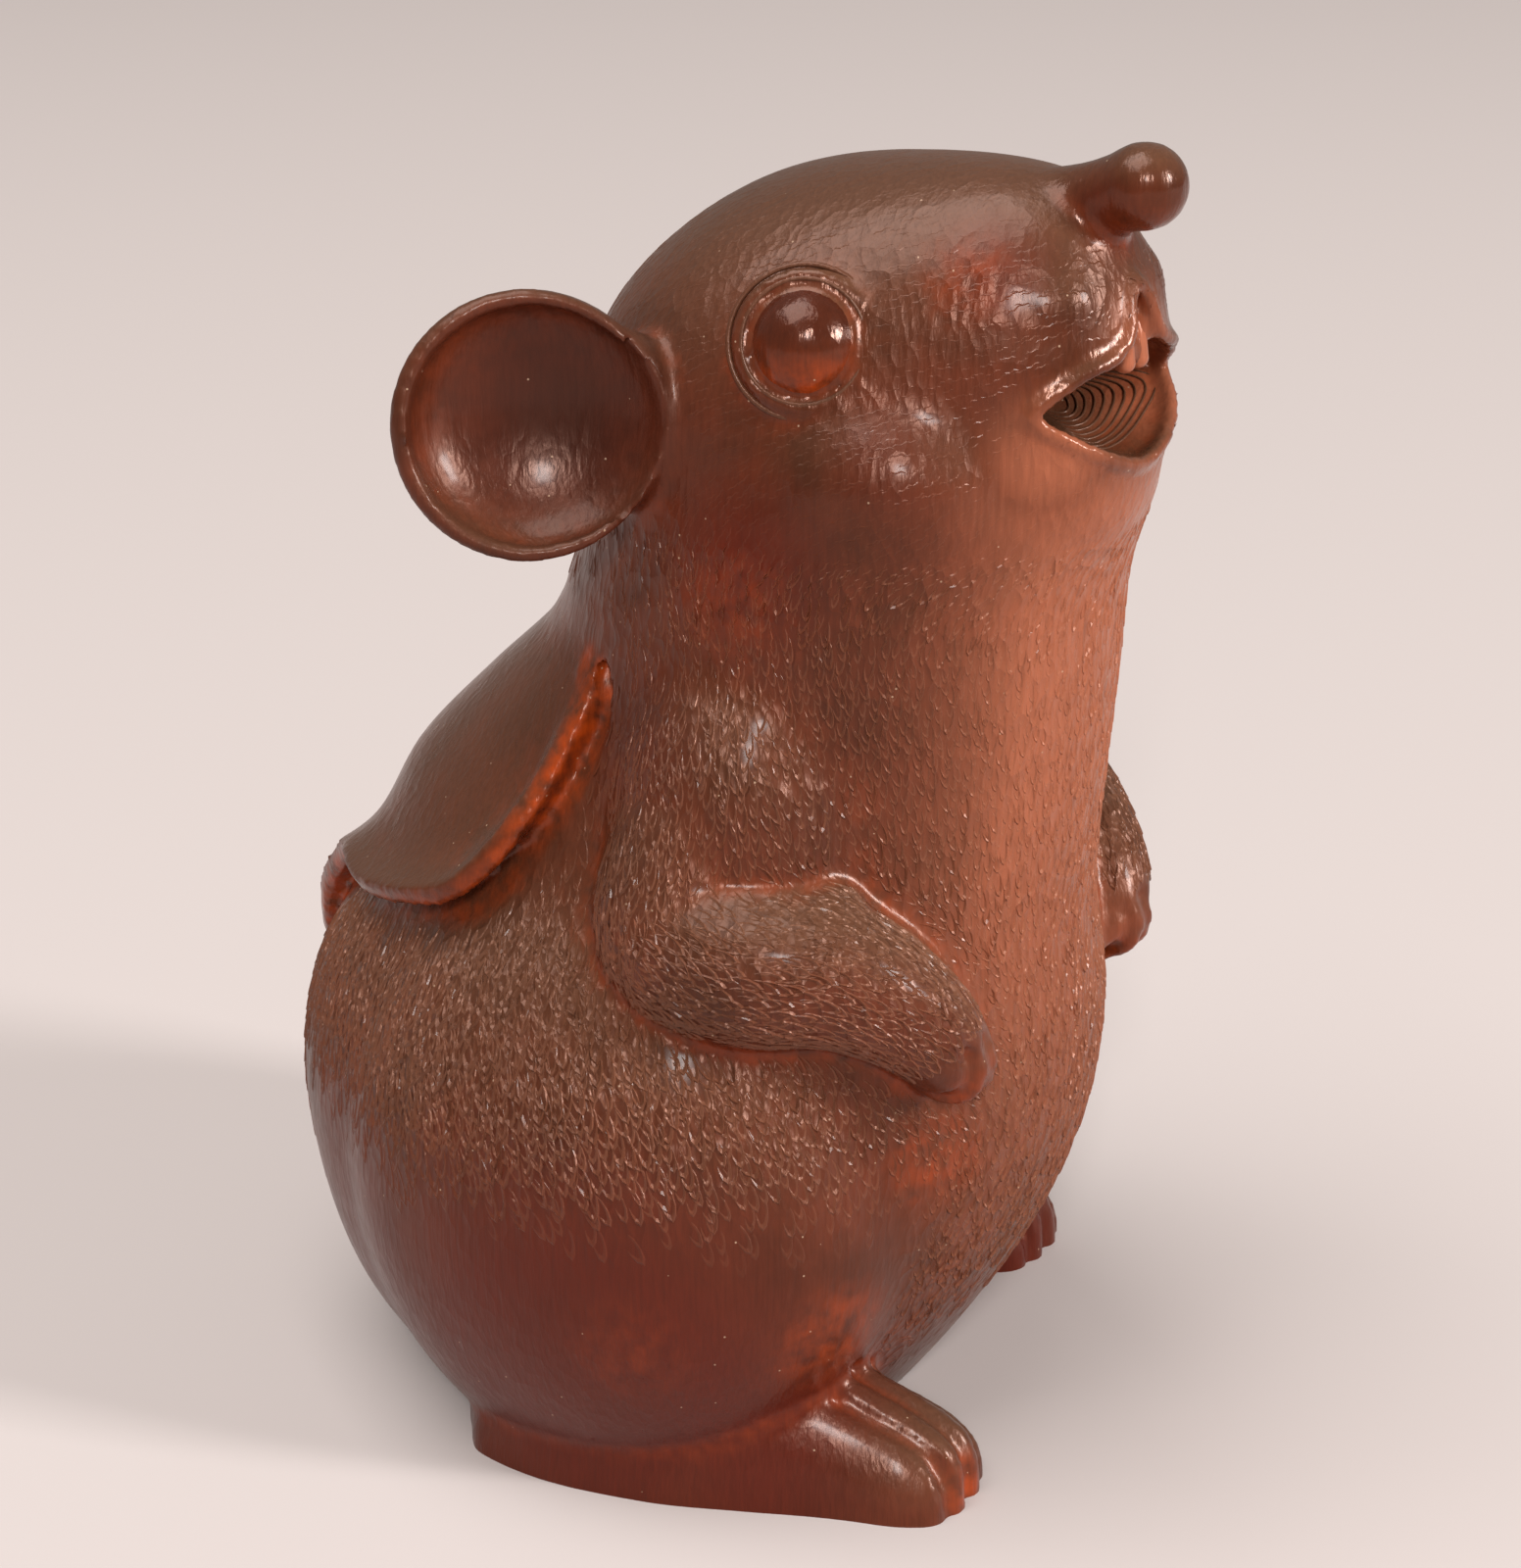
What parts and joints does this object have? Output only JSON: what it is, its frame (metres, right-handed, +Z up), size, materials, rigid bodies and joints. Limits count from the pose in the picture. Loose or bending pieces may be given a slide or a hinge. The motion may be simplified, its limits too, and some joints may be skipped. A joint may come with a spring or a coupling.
{
  "type": "mouse figurine",
  "caption": "Carved boxwood mouse sitting upright on a flat underside, with cupped ears, a raised snout, an open mouth and a loose flap carved over its back.",
  "frame": {"origin": "on the flat underside, below the middle of the body", "axes": "+Z up, the mouse faces -Y, its left side is at +X"},
  "size_m": [0.0669, 0.0763, 0.1049],
  "materials": {
    "boxwood": "boxwood stained dark reddish brown, tooled with short fur cuts and rubbed to a satin shine"
  },
  "bodies": {
    "root": {"mouse": "boxwood"}
  },
  "joints": []
}
